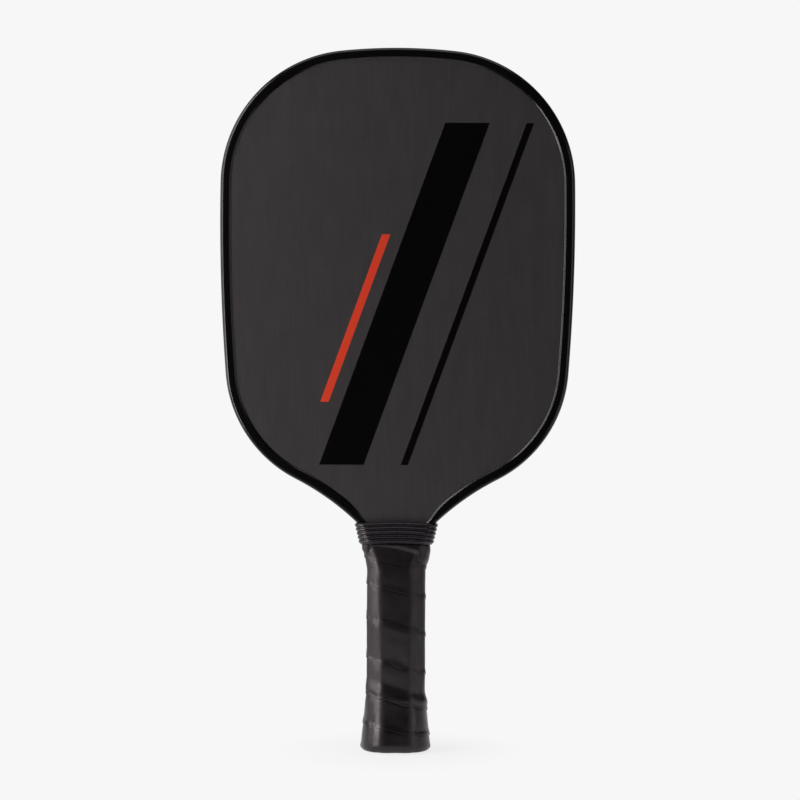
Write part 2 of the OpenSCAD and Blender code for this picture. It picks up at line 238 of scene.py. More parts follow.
def head_arcs():
    """Arcs of the right half, crown to throat: centre, radius, first and last direction, bulge."""
    crown = np.array([0.0, PADDLE_LEN - CROWN_R])
    side = np.array([HEAD_W / 2.0 - SIDE_R, WIDE_AT])
    lean = np.array([math.cos(THROAT_LEAN), -math.sin(THROAT_LEAN)])
    throat = np.array([THROAT_W / 2.0, THROAT_AT]) + THROAT_R * lean
    shoulder = meet(crown, CROWN_R - SHOULDER_R, side, SIDE_R - SHOULDER_R, -1)
    hip = meet(side, SIDE_R - HIP_R, throat, HIP_R + THROAT_R, 1)
    crown_end = heading(crown, shoulder)
    shoulder_end = heading(side, shoulder)
    side_end = heading(side, hip)
    hip_end = heading(hip, throat)
    throat_end = math.pi - math.acos((throat[0] - NECK_W / 2.0) / (THROAT_R + GUARD_WEB))
    return [
        (crown, CROWN_R, math.pi / 2.0, crown_end, 1),
        (shoulder, SHOULDER_R, crown_end, shoulder_end, 1),
        (side, SIDE_R, shoulder_end, side_end, 1),
        (hip, HIP_R, side_end, hip_end, 1),
        (throat, THROAT_R, hip_end + math.pi, throat_end, -1),
    ]


def edge_stations(chord_error):
    out = []
    arcs = head_arcs()
    for arc in arcs:
        n = math.ceil(abs(arc[3] - arc[2]) / (2.0 * math.acos(1.0 - chord_error / arc[1])))
        out += [(arc, arc[2] + (arc[3] - arc[2]) * k / n) for k in range(n)]
    return out + [(arcs[-1], arcs[-1][3])]


def edge_point(station, inset):
    (centre, radius, _, _, bulge), a = station
    return centre + (radius - bulge * inset) * np.array([math.cos(a), math.sin(a)])


# Material nodes

def new_material(name):
    mat = bpy.data.materials.new(name)
    mat.use_nodes = True
    return mat, mat.node_tree, mat.node_tree.nodes["Principled BSDF"]


def feed(tree, socket, value):
    """Link another node's output to a socket, or set the socket to a constant."""
    if hasattr(value, "is_linked"):
        tree.links.new(value, socket)
    else:
        socket.default_value = value


def add(tree, kind, inputs=None, **props):
    node = tree.nodes.new(kind)
    for key, value in props.items():
        setattr(node, key, value)
    for key, value in (inputs or {}).items():
        feed(tree, node.inputs[key], value)
    return node


def object_place(tree):
    return add(tree, "ShaderNodeTexCoord").outputs["Object"]


def millimetres(tree, scale):
    """Object coordinates in millimetres, scaled along each axis."""
    return add(tree, "ShaderNodeMapping", {
        "Vector": object_place(tree), "Scale": [1000.0 * s for s in scale],
    }).outputs[0]


def grain(tree, scale, detail=2.0, rough=0.5):
    """Noise with about scale features to a millimetre along each axis."""
    return add(tree, "ShaderNodeTexNoise", {
        "Vector": millimetres(tree, scale), "Scale": 1.0, "Detail": detail, "Roughness": rough,
    }).outputs["Fac"]


def ramp(tree, value, first, last, low, high):
    """A value mapped from first and last to low and high, and held there beyond."""
    return add(tree, "ShaderNodeMapRange", {
        "Value": value, "From Min": first, "From Max": last, "To Min": low, "To Max": high,
    }).outputs[0]


def spread(tree, value, low, high):
    """The middle of a noise, spread over low to high."""
    return ramp(tree, value, 0.3, 0.7, low, high)


def swing(tree, value, share):
    """A factor that a noise swings about 1 by a share."""
    return spread(tree, value, 1.0 - share, 1.0 + share)


def math_node(tree, op, a, b=0.0):
    return add(tree, "ShaderNodeMath", {0: a, 1: b}, operation=op).outputs[0]


def tint(tree, colour, value):
    """A colour multiplied by a value."""
    return add(tree, "ShaderNodeVectorMath", {0: colour, 1: value}, operation="MULTIPLY").outputs[0]


def blend(tree, share, a, b):
    """Colour a where the share is 0 and b where it is 1. Sockets 6, 7 and 2 are those for colours."""
    node = add(tree, "ShaderNodeMix", {0: share}, data_type="RGBA")
    for number, colour in ((6, a), (7, b)):
        feed(tree, node.inputs[number], (*colour, 1.0) if isinstance(colour, tuple) else colour)
    return node.outputs[2]


def relief(tree, height, depth_mm):
    return add(tree, "ShaderNodeBump", {
        "Height": height, "Distance": depth_mm * MM, "Strength": 1.0,
    }).outputs[0]


def finish_material(tree, shader, colour, rough, normal, **fixed):
    for key, value in fixed.items():
        shader.inputs[key.replace("_", " ")].default_value = value
    for key, value in (("Base Color", colour), ("Roughness", rough), ("Normal", normal)):
        tree.links.new(value, shader.inputs[key])


def moulded(name, colour, rough, tone_share, grain_mm, depth_mm, **fixed):
    """Moulded plastic or rubber: fine surface grain, slow changes of tone and gloss."""
    mat, tree, shader = new_material(name)
    slow = grain(tree, (0.06, 0.06, 0.06), 3.0)
    fine = grain(tree, (1.0 / grain_mm,) * 3, 3.0)
    tone = swing(tree, slow, tone_share)
    both = math_node(tree, "ADD", slow, math_node(tree, "SUBTRACT", fine, 0.5))
    gloss = spread(tree, both, rough * 0.85, rough * 1.15)
    finish_material(tree, shader, tint(tree, colour, tone), gloss, relief(tree, fine, depth_mm), **fixed)
    return mat


# Face sheets: raw fibre composite with a plain printed stripe design

FACE_COLOUR = (0.0370, 0.0316, 0.0334)
BLACK_INK = (0.0012, 0.0011, 0.0015)
RED_INK = (0.80, 0.057, 0.021)
STRIPE_LEAN = math.radians(20.0)
# Stripes, in millimetres: middle across, height of the middle, width, height from end to end
WIDE_STRIPE = (4.0, 262.0, 24.0, 196.0)
THIN_STRIPE = (40.0, 262.0, 4.0, 196.0)
RED_STRIPE = (-24.0, 248.0, 4.5, 96.0)
# What ink takes off the face's roughness, and what black ink takes off its plain shine
INK_SMOOTH = 0.20
PLAIN_SHINE = 0.5
BLACK_DULL = 0.35
# What the cross grain and the ink add to the relief, beside the streaks
CROSS_RELIEF = 0.5
INK_RELIEF = 1.5


def stripe_mask(tree, place, stripe):
    """1 inside a leaning stripe with level ends, from the outputs of a place on the object."""
    middle, height, width, length = stripe
    x = math_node(tree, "SUBTRACT", place[0], middle * MM)
    z = math_node(tree, "SUBTRACT", place[2], height * MM)
    across = math_node(tree, "SUBTRACT", x, math_node(tree, "MULTIPLY", z, math.tan(STRIPE_LEAN)))
    inside = math_node(tree, "LESS_THAN", math_node(tree, "ABSOLUTE", across),
                       width * MM / 2.0 / math.cos(STRIPE_LEAN))
    between = math_node(tree, "LESS_THAN", math_node(tree, "ABSOLUTE", z), length * MM / 2.0)
    return math_node(tree, "MULTIPLY", inside, between)


def face_material():
    """Fine upright streaks, a faint cross grain and slow mottling under the printed stripes."""
    mat, tree, shader = new_material("face_composite")
    streak = grain(tree, (1.6, 1.6, 0.035), 3.0, 0.6)
    cross = grain(tree, (0.10, 0.10, 1.3), 2.0)
    mottle = grain(tree, (0.13, 0.13, 0.045), 3.0)
    tone = math_node(tree, "MULTIPLY", swing(tree, streak, 0.13), swing(tree, cross, 0.04))
    tone = math_node(tree, "MULTIPLY", tone, swing(tree, mottle, 0.07))

    place = add(tree, "ShaderNodeSeparateXYZ", {0: object_place(tree)}).outputs
    black = math_node(tree, "MAXIMUM", stripe_mask(tree, place, WIDE_STRIPE),
                      stripe_mask(tree, place, THIN_STRIPE))
    red = stripe_mask(tree, place, RED_STRIPE)
    ink = math_node(tree, "MAXIMUM", black, red)
    colour = blend(tree, black, tint(tree, FACE_COLOUR, tone), BLACK_INK)
    colour = blend(tree, red, colour, RED_INK)
    rough = math_node(tree, "SUBTRACT", spread(tree, mottle, 0.54, 0.58),
                      math_node(tree, "MULTIPLY", ink, INK_SMOOTH))
    height = math_node(tree, "ADD", streak, math_node(tree, "MULTIPLY", cross, CROSS_RELIEF))
    height = math_node(tree, "ADD", height, math_node(tree, "MULTIPLY", ink, INK_RELIEF))
    finish_material(tree, shader, colour, rough, relief(tree, height, 0.02))
    shine = math_node(tree, "SUBTRACT", PLAIN_SHINE, math_node(tree, "MULTIPLY", black, BLACK_DULL))
    tree.links.new(shine, shader.inputs["Specular IOR Level"])
    return mat


# Grip tape's skin: soft, with a fine leather-like grain, small creases and rubbed spots

GRIP_COLOUR = (0.0054, 0.0038, 0.0041)
GRIP_SHINE = (1.0, 0.90, 0.925, 1.0)
# The skin is smoother where it is stretched over the butt: share of its roughness, and the heights between
BUTT_SMOOTH = 0.78
STRETCHED_TO = 20.0
SLACK_FROM = 42.0


def grip_material():
    mat, tree, shader = new_material("grip_cushion")
    pores = add(tree, "ShaderNodeTexVoronoi", {
        "Vector": millimetres(tree, (1.0, 1.0, 1.0)), "Scale": 1.7,
    }).outputs["Distance"]
    crease = grain(tree, (0.35, 0.35, 0.9), 3.0, 0.6)
    slow = grain(tree, (0.08, 0.08, 0.08), 3.0)
    tone = swing(tree, slow, 0.15)
    fine = math_node(tree, "MULTIPLY", math_node(tree, "SUBTRACT", crease, 0.5), 0.5)
    rough = spread(tree, math_node(tree, "ADD", slow, fine), 0.36, 0.50)
    height_m = add(tree, "ShaderNodeSeparateXYZ", {0: object_place(tree)}).outputs[2]
    stretch = ramp(tree, height_m, STRETCHED_TO * MM, SLACK_FROM * MM, BUTT_SMOOTH, 1.0)
    rough = math_node(tree, "MULTIPLY", rough, stretch)
    height = math_node(tree, "ADD", math_node(tree, "MULTIPLY", pores, 0.25), crease)
    finish_material(tree, shader, tint(tree, GRIP_COLOUR, tone), rough, relief(tree, height, 0.03),
                    Specular_Tint=GRIP_SHINE)
    return mat


# Edge guard: one strip round the head, its ends tucked under the collar

CHORD_ERROR = 0.004
LIP_STEPS = 10
ROUND_STEPS = 14
# The lip's inner edge: a rounding over part of a quarter turn, in degrees, that runs out in a thin feather
LIP_ROUND = 1.5
LIP_TURN = 50.0
LIP_FEATHER = 0.4
FEATHER_T = 0.1
# What the lip narrows by toward each end of the strip, and over what height
END_NARROW = 2.2
END_LEN = 11.0


def bend(centre, radius, start, turn, steps):
    """Points round a bend from a start angle over a turn, in degrees."""
    angles = [math.radians(start + turn * k / steps) for k in range(steps + 1)]
    return [(centre[0] + radius * math.cos(a), centre[1] + radius * math.sin(a)) for a in angles]


def guard_section():
    """Section through the strip: (distance in from the paddle's edge, depth), front lip then rear lip."""
    inner = GUARD_WEB + GUARD_LIP
    feather = inner + LIP_FEATHER
    foot = FACE_Z + GUARD_FIT
    half = [(GUARD_WEB - GUARD_FIT, foot), (feather, foot), (feather, foot + FEATHER_T)]
    flat = inner - LIP_ROUND * math.sin(math.radians(LIP_TURN))
    half += bend((flat, LIP_Z - LIP_ROUND), LIP_ROUND, 90.0 - LIP_TURN, LIP_TURN, LIP_STEPS)
    half += bend((GUARD_ROUND, LIP_Z - GUARD_ROUND), GUARD_ROUND, 90.0, 90.0, ROUND_STEPS)
    return half + [(d, -z) for d, z in reversed(half)]


def make_edge_guard(mat):
    profile = guard_section()
    stations = edge_stations(CHORD_ERROR)

    def ring(station, half):
        end = np.clip((THROAT_AT + END_LEN - edge_point(station, 0.0)[1]) / END_LEN, 0.0, 1.0)
        out = []
        for d, z in profile:
            inward = np.clip((d - GUARD_ROUND) / (GUARD_LIP - GUARD_ROUND), 0.0, 1.0)
            p = edge_point(station, d - END_NARROW * end ** 2 * inward)
            out.append((half * p[0], -z, p[1]))
        return out

    rings = [ring(s, -1) for s in reversed(stations)] + [ring(s, 1) for s in stations[1:]]
    return piece("edge_guard_strip", *skin(rings), mat, sharp=30.0)


# Butt cap and the soft form over it

# Bottom of the cap, from the middle of its shallow dish out: inset from the flare, height
DISH = ((9.0, 0.5), (6.2, 0.5), (5.6, 0.35), (5.2, 0.1), (4.9, 0.0))
DISH_ROUND = 4.0
# The rim is rounder at the front and back than at the sides
FRONT_RIM = 5.2
RIM_STEPS = 9
SOCKET_FIT = 0.1
# Height at which the way round the wound handle is measured
MID_HANDLE = 60.0

# Form that the soft tape gives the handle at heights: rounding of the side corners and of the front and back
# corners, what the bevels are wider by, and what the one at the right of the front is wider by still
SOFT_HEIGHTS = (4.0, 20.0, 30.0, 42.0, 60.0, 82.0, 99.0, 110.0, 124.0)
SIDE_ROUND = (12.0, 11.0, 6.0, 2.2, 2.2, 3.0, 4.5, 4.5, 2.0)
FRONT_ROUND = (7.5, 7.5, 6.5, 6.0, 6.0, 6.0, 7.0, 4.0, 3.0)
BEVEL_MORE = (1.4, 1.2, 1.0, 0.75, 0.7, -0.35, -0.9, 0.0, 0.0)
RIGHT_MORE = (0.0, 0.0, 0.0, 0.3, 0.4, 0.8, 1.6, 2.2, 0.0)


def soft_value(h, values):
    return float(np.interp(h, SOFT_HEIGHTS, values))


def soft_shape(h):
    x, z, side, bevel = handle_shape(h)
    more = soft_value(h, BEVEL_MORE)
    return (x, z, side - more * (z - side) / bevel, bevel + more, soft_value(h, RIGHT_MORE))


def soft_round(h):
    return soft_value(h, SIDE_ROUND), soft_value(h, FRONT_ROUND)


def turn_shares():
    """Share of a turn at each place round the wound handle."""
    shape = handle_shape(MID_HANDLE)
    points = [place_point(shape, TAPE_T, spot) for spot in PLACES]
    steps = [np.linalg.norm(points[(i + 1) % len(points)] - points[i]) for i in range(len(points))]
    return np.concatenate([[0.0], np.cumsum(steps)[:-1]]) / sum(steps)


def rim_round(share):
    """Radius of the rim at a share of the way round."""
    return mix(CAP_ROUND, FRONT_RIM, math.sin(2.0 * math.pi * share) ** 2)


def cap_off(h, rim):
    """Distance of the cap's wall off the handle at a height, with the rim's rounding."""
    wall = mix(CAP_LIP + CAP_FLARE, CAP_LIP, (h - CAP_ROUND) / (CAP_LEN - CAP_ROUND))
    return float(wall - rim * (1.0 - math.sqrt(1.0 - max(0.0, 1.0 - h / rim) ** 2)))


def make_butt_cap(mat):
    foot = handle_shape(CAP_FLOOR)
    shares = turn_shares()
    rings = [ring_at(foot, CAP_LIP + CAP_FLARE - inset, h, DISH_ROUND) for inset, h in DISH]
    for k in range(RIM_STEPS + 1):
        h = CAP_ROUND * (1.0 - math.cos(math.radians(90.0 * k / RIM_STEPS)))
        points = [
            place_point(soft_shape(h), cap_off(h, rim_round(share)), spot, soft_round(h))
            for spot, share in zip(PLACES, shares)
        ]
        rings.append([(p[0], -p[1], h) for p in points])
    # The flared wall's top, then the socket
    rings.append(ring_at(soft_shape(CAP_LEN), CAP_LIP, CAP_LEN, soft_round(CAP_LEN)))
    rings.append(ring_at(foot, SOCKET_FIT, CAP_LEN))
    rings.append(ring_at(foot, SOCKET_FIT, CAP_FLOOR))
    return piece("butt_cap_shell", *skin(rings), mat, sharp=35.0)


# Grip tape: one strip wound from the rim up, each lap over the one below. Turns count from the right side.

TAPE_T = 1.55
TAPE_EDGE = 0.5
TAPE_FIT = 0.2
TAPE_RIM = 0.45
TAPE_FOOT = 3.2
TAPE_TURNS = 7
# Laps: cover over the lap below, thinned upper part, the slope to it, thickness at the tip, and clear space
LAP_OVER = 3.0
LAP_THIN = 1.45
LAP_SKIVE = 1.5
LAP_TIP = 0.5
LAP_AIR = 0.04
# Climb of the laps: what is left for the last one, how the pitch eases away from a turn, and their lean
LAP_LAST = 8.8
LAP_EASE = 0.069
LAP_PITCH_TURN = 3.74
LAP_LEAN = -0.5
# Turns over which the tape starts to ride on the lap below, leaves the rim, and ends level under the collar
RIDE_FROM = -0.25
RIDE_TURNS = 0.2
RISE_FROM = 0.42
RISE_TURNS = 0.45
LEVEL_TURNS = 0.15
# Height over which the cap's lip fades out under the tape
LIP_FADE = 6.0
# Unevenness of the lower edge, and the turns between which it fades in and out
WOBBLE = 0.55
WOBBLE_TURNS = (0.2, 0.8, 6.5, 6.9)
# Way in which a lap's lower edge flattens out: on the rim, on flats and on bevels. On bevels it is thinner.
RIM_FLATTEN = 2.6
FLAT_FLATTEN = 4.8
BEVEL_FLATTEN = 1.15
BEVEL_EDGE = 0.7
EDGE_UNEVEN = 0.25
# Shares of a turn, counted in each half of it, at which the bevels lie, and how far they spread
BEVEL_SHARES = (0.125, 0.375)
BEVEL_SPREAD = 0.075
# What the flats bulge by in turn, from the bevel at the front right
FLAT_CROWN = (0.22, 0.12, 0.22, 0.0, 0.22, 0.12, 0.22, 0.0)
# Slow unevenness of the cushion: features to a millimetre, size, and a shift that sets the two apart
LUMPS = ((0.085, 0.16, (0, 0, 0)), (0.22, 0.07, (5, 1, 8)))


def riding(t):
    return min(1.0, max(0.0, (t - RIDE_FROM) / RIDE_TURNS))


def climb(t):
    return t - LAP_EASE / 3.0 * ((t - LAP_PITCH_TURN) ** 3 + LAP_PITCH_TURN ** 3)


def lap_h(t):
    """Height of the tape's lower edge at a turn."""
    rise = (TAPE_TOP - LAP_LAST - TAPE_FOOT) * climb(t) / climb(TAPE_TURNS)
    wound = TAPE_FOOT + rise + LAP_LEAN * (math.cos(2.0 * math.pi * t) - 1.0)
    return float(mix(TAPE_RIM, wound, smooth((t - RISE_FROM) / RISE_TURNS)))


def edge_wobble(t):
    """Unevenness of the hand-wound edge. It fades out at the rim and under the collar."""
    return between(t, WOBBLE_TURNS) * WOBBLE * noise.noise(Vector((t * 5.1, 3.7, 0.0)))


def under_tape(h, share):
    fade = mix(CAP_LIP, 0.0, (h - CAP_LEN) / LIP_FADE)
    return TAPE_FIT + (cap_off(h, rim_round(share)) if h < CAP_LEN else float(fade))


def flat_bulge(spot):
    kind, i, k = spot
    return FLAT_CROWN[i] * 4.0 * k * (1.0 - k) if kind == "flat" else 0.0


def lump(at):
    return sum(noise.noise(at * fine + Vector(shift)) * size for fine, size, shift in LUMPS)


# What the hand's winding adds to the tape's plain build-up at a turn t, a way s up the lap and a height h

# Shares of a turn between which a place is over the front
FRONT_SHARES = (0.06, 0.16, 0.36, 0.46)
# Last lap: the turn from which it fills, over what turns, and what it is fuller by over the front
LAST_FROM = 5.75
LAST_TURNS = 0.3
FRONT_FULL = 0.45
# Its fold: height above the lower edge at shares of the turn, and the way over which it rises
FOLD_SHARES = (0.0, 0.11, 0.17, 0.25, 0.32, 0.41, 0.5, 0.75, 1.0)
FOLD_HEIGHTS = (3.0, 3.8, 8.1, 9.9, 10.0, 4.0, 3.0, 6.0, 3.0)
FOLD_RISE = 3.4
# Height at which the fullness ends, just above the collar's foot, and over what height it fades
FOLD_TOP = COLLAR_BOTTOM + 0.8
FOLD_FADE = 1.6
# Second lap: turns between which it is folded, then turns with its ridge's height and with its way up the lap
FOLDED_TURNS = (1.80, 1.95, 2.60, 2.85)
RIDGE_HEIGHT = ((2.0, 2.5), (0.85, 0.5))
RIDGE_AT = ((2.0, 2.2), (4.6, 3.4))
RIDGE_WIDTH = 2.4
# Dent above that ridge: depth, way up the lap, and width below and above
DENT_DEPTH = 0.55
DENT_AT = 8.8
DENT_BELOW = 2.1
DENT_ABOVE = 6.0
# Third lap: how far it leans out, at what turn, over how many turns, and the width that leans
LEAN_OUT = 1.3
LEAN_AT = 3.3
LEAN_TURNS = 0.6
LEAN_WIDTH = 16.0


def over_front(t):
    """1 over the front of a turn, fading to 0 at the sides."""
    return between(t % 1.0, FRONT_SHARES)


def last_lap(t, s, h):
    """The last lap is full above a fold that climbs over the front."""
    fold_at = np.interp(t % 1.0, FOLD_SHARES, FOLD_HEIGHTS)
    above = smooth((s - fold_at + FOLD_RISE / 2.0) / FOLD_RISE)
    full = smooth((t - LAST_FROM) / LAST_TURNS) * above * smooth((FOLD_TOP - h) / FOLD_FADE)
    return float(full) * (1.0 + FRONT_FULL * over_front(t))


def second_lap(t, s):
    """The second lap is folded on itself: a ridge, and over the front a dent above it."""
    ridge = np.interp(t, *RIDGE_HEIGHT) * bump_at(s, np.interp(t, *RIDGE_AT), RIDGE_WIDTH)
    dent = DENT_DEPTH * over_front(t) * bump_at(s, DENT_AT, DENT_BELOW if s < DENT_AT else DENT_ABOVE)
    return between(t, FOLDED_TURNS) * float(ridge - dent)


def third_lap(t, s):
    """The third lap leans out at its top, over the front."""
    return float(LEAN_OUT * over_front(t) * bump_at(t, LEAN_AT, LEAN_TURNS) * (s / LEAN_WIDTH - 0.5))


def swell(t, s, h):
    return last_lap(t, s, h) + second_lap(t, s) + third_lap(t, s)


# Sections and skin of the tape

# Rounding of a lap's lower edge, and what the middle of it lies in by
NOSE = 0.1
NOSE_MIDDLE = 0.03
# Way up a lap from which its inside comes down to the handle, and over what length
SETTLE_FROM = 1.0
SETTLE_LEN = 4.5
# Points up a lap's outside: ways above the nose, the number between, and near the upper edge the distance
# below it with the least share of the lap's width at which the point lies
LOW_STEPS = (0.0, 0.3, 0.6, 1.0, 1.6, 2.3, 3.2, 4.2, 5.3)
MIDDLE_STEPS = 12
HIGH_STEPS = ((4.5, 0.8), (3.7, 0.85), (3.0, 0.9), (1.5, 0.95))
# A lap narrower than this has its first points drawn together into a share of its width
NARROW_LAP = 12.0
NARROW_SHARE = 0.45
# Share of the swell that hidden points take
HIDDEN_SWELL = 0.3


def lap_edges(t):
    """Heights of a lap's lower edge, which shows, and of its upper edge, which the next lap covers."""
    low = lap_h(t) + edge_wobble(t)
    high = lap_h(t + 1.0) + edge_wobble(t + 1.0) + LAP_OVER
    return low, float(mix(high, TAPE_TOP, (t - TAPE_TURNS + 1.0) / LEVEL_TURNS))


def edge_step(t):
    """Thickness of the lower edge at a turn, and the way up the lap in which it flattens out."""
    bevel = sum(bump_at(t % 0.5, share, BEVEL_SPREAD) for share in BEVEL_SHARES)
    uneven = 1.0 + EDGE_UNEVEN * noise.noise(Vector((t * 7.3, 9.1, 0.0)))
    edge = TAPE_EDGE * uneven * float(mix(1.0, BEVEL_EDGE, bevel))
    return edge, float(mix(FLAT_FLATTEN, BEVEL_FLATTEN, bevel))


def lap_steps(w):
    """Ways up a lap of width w at which its section has points, up the outside and down the inside."""
    reach = NARROW_SHARE * w / LOW_STEPS[-1] if w < NARROW_LAP else 1.0
    low = [NOSE + s * reach for s in LOW_STEPS]
    high = [max(w - below, share * w) for below, share in HIGH_STEPS]
    middle = list(np.linspace(low[-1], high[0], MIDDLE_STEPS + 1)[1:])
    down = [w, max(w - 3.0, 0.8 * w), 0.6 * w, 0.4 * w, min(3.0, 0.25 * w), NOSE]
    return low + middle + high[1:] + [w], down


def lap_section(t):
    """Height of the lower edge, and a closed section: way up the lap, distance off, how far a point shows."""
    low, high = lap_edges(t)
    w = high - low
    ride = riding(t)
    lift = ride * (LAP_THIN + LAP_AIR)
    edge, flatten = edge_step(t)
    top = lift + edge

    def outside(s):
        rim_edge = mix(edge, TAPE_T, s / RIM_FLATTEN)
        lap_edge = mix(top, TAPE_T, smooth(s / flatten))
        base = float(mix(rim_edge, lap_edge, ride))
        left = w - s
        if left >= LAP_OVER + LAP_SKIVE:
            return base
        thin = mix(LAP_TIP, LAP_THIN, left / LAP_OVER)
        if left >= LAP_OVER:
            thin = mix(LAP_THIN, TAPE_T, (left - LAP_OVER) / LAP_SKIVE)
        return min(base, float(thin))

    def inside(s):
        return float(ride * mix(lift, 0.0, smooth((s - SETTLE_FROM) / SETTLE_LEN)))

    up, down = lap_steps(w)
    points = [(0.0, lift, 0.5), (0.0, top - NOSE, 1.0), (NOSE_MIDDLE, top - NOSE_MIDDLE, 1.0)]
    points += [(s, outside(s), 1.0) for s in up]
    return low, points + [(s, inside(s), 0.0) for s in down]


def tape_point(t, spot, low, s, d, show):
    """Point of the tape at a place round a turn, a way s up the lap and d off what lies under it."""
    h = low + s
    shape, rounds = soft_shape(h), soft_round(h)
    off = under_tape(h, t % 1.0) + d + swell(t, max(s, 0.0), h) * min(1.0, HIDDEN_SWELL + show)
    p = place_point(shape, off, spot, rounds)
    if show:
        uneven = lump(Vector((p[0], -p[1], h))) + flat_bulge(spot) * min(SIDE_ROUND) / rounds[0]
        p = place_point(shape, off + uneven * show, spot, rounds)
    return (p[0], -p[1], h)


def make_grip_tape(mat):
    shares = turn_shares()
    stations = [(turn + shares[j], spot) for turn in range(-1, TAPE_TURNS) for j, spot in enumerate(PLACES)]
    stations.append((float(TAPE_TURNS), PLACES[0]))
    rings = []
    for t, spot in stations:
        low, points = lap_section(t)
        rings.append([tape_point(t, spot, low, *point) for point in reversed(points)])
    return piece("wound_grip_tape", *skin(rings), mat, sharp=60.0)


# Collar: a stretched band with five ribs, over the tape's end and the guard's ends

COLLAR_ROUND = 3.2
# What the band sits higher by than its solid
COLLAR_UP = 0.55
RIBS = 5
RIB_H = 0.7
RIB_PITCH = 2.3
RIB_TOP = 1.3
RIB_HALF = 0.95
RIB_STEPS = 4
# Power that makes a rib a little slimmer than a half ellipse
RIB_POWER = 1.2
# What the bore passes over: tape, finishing tape and the space round each
TAPE_STACK = 2.25
FINISH_T = 0.3
WRAP_FIT = 0.2
COLLAR_STACK = TAPE_STACK + FINISH_T + 2.0 * WRAP_FIT
COLLAR_FREE = FINISH_T + 4.0 * WRAP_FIT
COLLAR_STEP = TAPE_TOP + 0.3 + COLLAR_DROOP
# Height of the bore's step above the tape, and how far above the tape its section of the handle is taken
STEP_H = 0.9
STEP_SECTION = 2.0
# Distance of the outside off those sections, bore and wall, at the foot and at the head
FOOT_OFF = COLLAR_STACK + 0.7
HEAD_OFF = WRAP_FIT + 1.4
# The head's section against the guard's lips: more depth, less depth at the sides, and the bevel
HEAD_OVER = 0.5
HEAD_SIDE = 1.15
HEAD_BEVEL = 3.4
# Rounded edges: height above the foot or the top, distance off the wall
FOOT_EDGE = ((0.0, -0.45), (0.12, -0.18), (0.35, 0.0))
TOP_EDGE = ((-0.18, -0.05), (0.0, -0.4))


def collar_shapes():
    """Sections of the collar at its foot, over the tape's end and at its head."""
    throat = head_arcs()[-1]
    guard_x = throat[0][0] - math.sqrt(throat[1] ** 2 - (THROAT_AT - throat[0][1]) ** 2)
    foot = np.array(handle_shape(COLLAR_BOTTOM))
    head = np.array([guard_x, LIP_Z + HEAD_OVER, LIP_Z - HEAD_SIDE, HEAD_BEVEL])
    share = (COLLAR_STEP - COLLAR_BOTTOM) / COLLAR_H
    step_x = mix(foot[0] + FOOT_OFF, head[0] + HEAD_OFF, share)
    waist = np.array(handle_shape(TAPE_TOP, step_x - FOOT_OFF))
    return foot, waist, head


def collar_ring(shape, h, off):
    out = []
    for spot in PLACES:
        p = place_point(tuple(shape), off, spot, COLLAR_ROUND)
        out.append((p[0], -p[1], h + COLLAR_UP - COLLAR_DROOP * (p[0] / (shape[0] + off)) ** 2))
    return out


def collar_rows():
    """Heights up the collar's outside, with the distance off its wall."""
    rows = [(COLLAR_BOTTOM + up, off) for up, off in FOOT_EDGE]
    for i in range(RIBS - 1, -1, -1):
        centre = HANDLE_LEN - RIB_TOP - i * RIB_PITCH
        for k in range(-RIB_STEPS, RIB_STEPS + 1):
            a = k / RIB_STEPS
            rows.append((centre + a * RIB_HALF, RIB_H * math.sqrt(max(0.0, 1.0 - a * a)) ** RIB_POWER))
    return rows + [(HANDLE_LEN + up, off) for up, off in TOP_EDGE]


def make_collar(mat):
    foot, waist, head = collar_shapes()

    def outer(h, off):
        low = (h - COLLAR_BOTTOM) / (COLLAR_STEP - COLLAR_BOTTOM)
        high = (h - COLLAR_STEP) / (HANDLE_LEN - COLLAR_STEP)
        shape = mix(foot, waist, low) if h < COLLAR_STEP else mix(waist, head, high)
        return collar_ring(shape, h, float(mix(FOOT_OFF, HEAD_OFF, high)) + off)

    bore = [
        (head, HANDLE_LEN, WRAP_FIT),
        (handle_shape(TAPE_TOP + STEP_SECTION, NECK_W / 2.0), COLLAR_STEP + STEP_H, COLLAR_FREE),
        (handle_shape(TAPE_TOP, NECK_W / 2.0), COLLAR_STEP, COLLAR_STACK),
        (foot, COLLAR_BOTTOM, COLLAR_STACK),
    ]
    rings = [outer(h, off) for h, off in collar_rows()] + [collar_ring(s, h, off) for s, h, off in bore]
    return piece("ribbed_collar", *skin(rings, loop=True), mat, sharp=50.0)


# The paddle

guard_plastic = moulded("guard_plastic", (0.0035, 0.0030, 0.0036), 0.18, 0.15, 0.6, 0.003,
                        Specular_IOR_Level=0.35)
cap_plastic = moulded("cap_plastic", (0.0085, 0.0080, 0.0085), 0.42, 0.15, 0.35, 0.02)
collar_rubber = moulded("collar_rubber", (0.0048, 0.0042, 0.0052), 0.30, 0.15, 0.45, 0.006,
                        Specular_Tint=(1.0, 0.92, 1.0, 1.0))
pallet_foam = moulded("pallet_foam", (0.080, 0.080, 0.090), 0.80, 0.20, 0.8, 0.08)
finish_film = moulded("finish_film", (0.018, 0.017, 0.018), 0.40, 0.15, 0.5, 0.02)
core_polymer = moulded("core_polymer", (0.80, 0.80, 0.76), 0.45, 0.06, 1.2, 0.03)
scrim_fleece = moulded("scrim_fleece", (0.88, 0.87, 0.84), 0.90, 0.08, 0.5, 0.05)
face_composite = face_material()
grip_cushion = grip_material()

made = [
    (make_edge_guard(guard_plastic), "edge_guard", "guard_plastic"),
    (make_butt_cap(cap_plastic), "butt_cap", "cap_plastic"),
    (make_grip_tape(grip_cushion), "grip_tape", "grip_cushion"),
    (make_collar(collar_rubber), "grip_collar", "collar_rubber"),
]
for obj, node, slot in made:
    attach(obj, "root")
    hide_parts(node)

